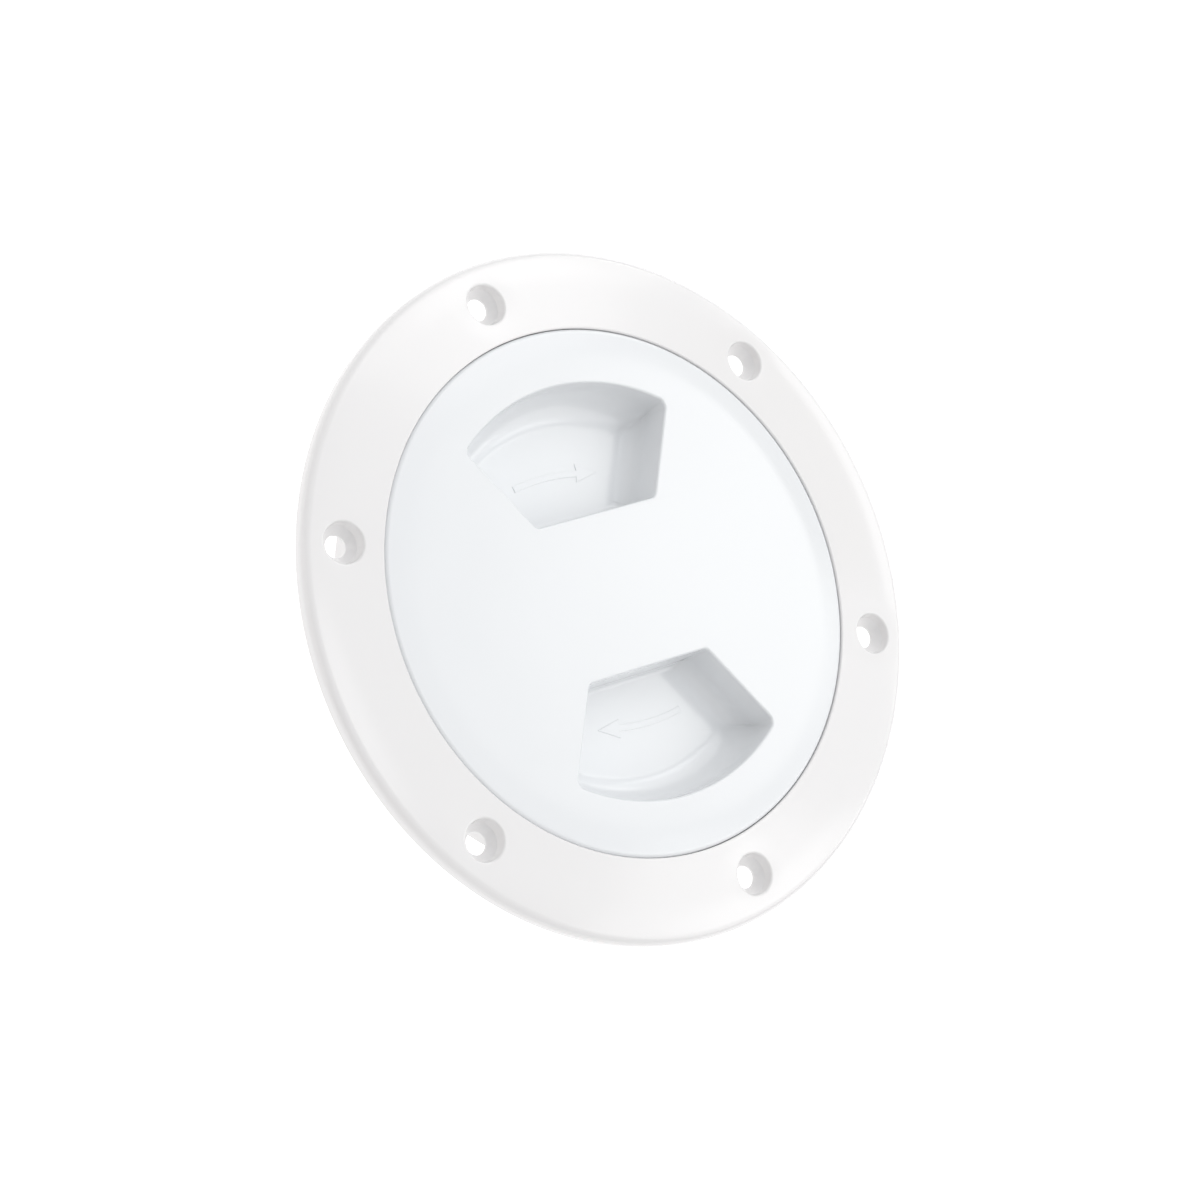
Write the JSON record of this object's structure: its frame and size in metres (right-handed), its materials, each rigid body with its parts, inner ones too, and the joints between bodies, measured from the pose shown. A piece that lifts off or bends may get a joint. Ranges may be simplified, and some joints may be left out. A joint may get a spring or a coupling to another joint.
{
  "type": "screw-out deck plate",
  "caption": "Round screw-out deck access plate: flanged ring with screw holes and threaded collar, lid with two finger recesses, and a seal.",
  "frame": {"origin": "centre of the flange's seating face, which is the plane of the deck", "axes": "+Z out of the deck along the lid's screw axis, +Y through the middle of one finger recess while the lid is closed"},
  "size_m": [0.143, 0.143, 0.0209],
  "materials": {
    "ring_plastic": "moulded white plastic, glossy",
    "lid_plastic": "moulded white plastic, glossy",
    "seal_rubber": "smooth black rubber"
  },
  "bodies": {
    "ring": {"deck_ring": "ring_plastic"},
    "seal": {"o_ring": "seal_rubber"},
    "lid": {"lid": "lid_plastic"}
  },
  "joints": [
    {"name": "lid_lift", "type": "slide", "parent": "ring", "child": "seal", "axis": [0, 0, 1], "range_m": [0, 0.0201]},
    {"name": "lid_turn", "type": "hinge", "parent": "seal", "child": "lid", "pos_m": [0, 0, 0], "axis": [0, 0, 1], "range_deg": [0, 1440]}
  ],
  "couplings": [
    {"joint": "lid_lift", "follows": "lid_turn", "m_per_rad": 0.00079577}
  ]
}
